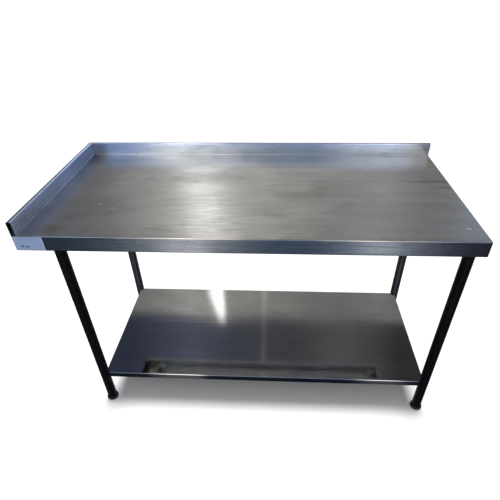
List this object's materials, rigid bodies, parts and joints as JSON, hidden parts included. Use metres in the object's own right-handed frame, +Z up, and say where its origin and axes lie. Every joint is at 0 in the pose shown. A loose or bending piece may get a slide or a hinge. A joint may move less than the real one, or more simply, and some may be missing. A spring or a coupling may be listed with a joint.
{
  "type": "stainless work table",
  "caption": "Free-standing stainless steel work table with a folded upstand along the back and left end, round tube legs on screw feet and a folded undershelf.",
  "frame": {"origin": "on the floor, at the middle of the table's footprint", "axes": "+X along the worktop to its right end, +Y to the back edge with the upstand, +Z up"},
  "size_m": [1.5, 0.7, 0.95],
  "materials": {
    "brushed_top": "brushed along the length, worn and scratched from use",
    "apron_end_steel": "brushed, smoother and brighter than the apron beside it",
    "brushed_shelf": "brushed along the length, dulled from use",
    "leg_steel": "round tube, satin black",
    "plain_steel": "mill finish sheet",
    "zinc_fasteners": "bright zinc plated steel",
    "black_plastic": "moulded black nylon"
  },
  "bodies": {
    "frame": {"apron_end_piece": "apron_end_steel", "bracket_rivet_nuts": "zinc_fasteners", "bracket_screws": "zinc_fasteners", "cross_channel_left": "plain_steel", "cross_channel_right": "plain_steel", "deck_stiffener_front": "plain_steel", "deck_stiffener_rear": "plain_steel", "end_upstand": "brushed_top", "foot_insert_front_left": "black_plastic", "foot_insert_front_right": "black_plastic", "foot_insert_rear_left": "black_plastic", "foot_insert_rear_right": "black_plastic", "leg_front_left": "leg_steel", "leg_front_right": "leg_steel", "leg_rear_left": "leg_steel", "leg_rear_right": "leg_steel", "leg_socket_front_left": "plain_steel", "leg_socket_front_right": "plain_steel", "leg_socket_rear_left": "plain_steel", "leg_socket_rear_right": "plain_steel", "shelf_bracket_front_left": "plain_steel", "shelf_bracket_front_right": "plain_steel", "shelf_bracket_rear_left": "plain_steel", "shelf_bracket_rear_right": "plain_steel", "shelf_pan": "brushed_shelf", "shelf_stiffener": "plain_steel", "socket_bolts": "zinc_fasteners", "socket_grub_screws": "zinc_fasteners", "socket_nuts": "zinc_fasteners", "worktop_pan": "brushed_top"},
    "foot_front_left": {"foot_pad_front_left": "black_plastic"},
    "spindle_front_left": {"foot_spindle_front_left": "zinc_fasteners"},
    "foot_front_right": {"foot_pad_front_right": "black_plastic"},
    "spindle_front_right": {"foot_spindle_front_right": "zinc_fasteners"},
    "foot_rear_left": {"foot_pad_rear_left": "black_plastic"},
    "spindle_rear_left": {"foot_spindle_rear_left": "zinc_fasteners"},
    "foot_rear_right": {"foot_pad_rear_right": "black_plastic"},
    "spindle_rear_right": {"foot_spindle_rear_right": "zinc_fasteners"}
  },
  "joints": [
    {"name": "foot_height_front_left", "type": "slide", "parent": "frame", "child": "foot_front_left", "axis": [0, 0, -1], "range_m": [0, 0.025]},
    {"name": "foot_turn_front_left", "type": "hinge", "parent": "foot_front_left", "child": "spindle_front_left", "pos_m": [-0.638, -0.299, 0.012], "axis": [0, 0, -1], "range_deg": [0, 6000]},
    {"name": "foot_height_front_right", "type": "slide", "parent": "frame", "child": "foot_front_right", "axis": [0, 0, -1], "range_m": [0, 0.025]},
    {"name": "foot_turn_front_right", "type": "hinge", "parent": "foot_front_right", "child": "spindle_front_right", "pos_m": [0.72, -0.299, 0.012], "axis": [0, 0, -1], "range_deg": [0, 6000]},
    {"name": "foot_height_rear_left", "type": "slide", "parent": "frame", "child": "foot_rear_left", "axis": [0, 0, -1], "range_m": [0, 0.025]},
    {"name": "foot_turn_rear_left", "type": "hinge", "parent": "foot_rear_left", "child": "spindle_rear_left", "pos_m": [-0.638, 0.264, 0.012], "axis": [0, 0, -1], "range_deg": [0, 6000]},
    {"name": "foot_height_rear_right", "type": "slide", "parent": "frame", "child": "foot_rear_right", "axis": [0, 0, -1], "range_m": [0, 0.025]},
    {"name": "foot_turn_rear_right", "type": "hinge", "parent": "foot_rear_right", "child": "spindle_rear_right", "pos_m": [0.72, 0.264, 0.012], "axis": [0, 0, -1], "range_deg": [0, 6000]}
  ],
  "couplings": [
    {"joint": "foot_turn_front_left", "follows": "foot_height_front_left", "rad_per_m": 4188.8},
    {"joint": "foot_turn_front_right", "follows": "foot_height_front_right", "rad_per_m": 4188.8},
    {"joint": "foot_turn_rear_left", "follows": "foot_height_rear_left", "rad_per_m": 4188.8},
    {"joint": "foot_turn_rear_right", "follows": "foot_height_rear_right", "rad_per_m": 4188.8}
  ]
}
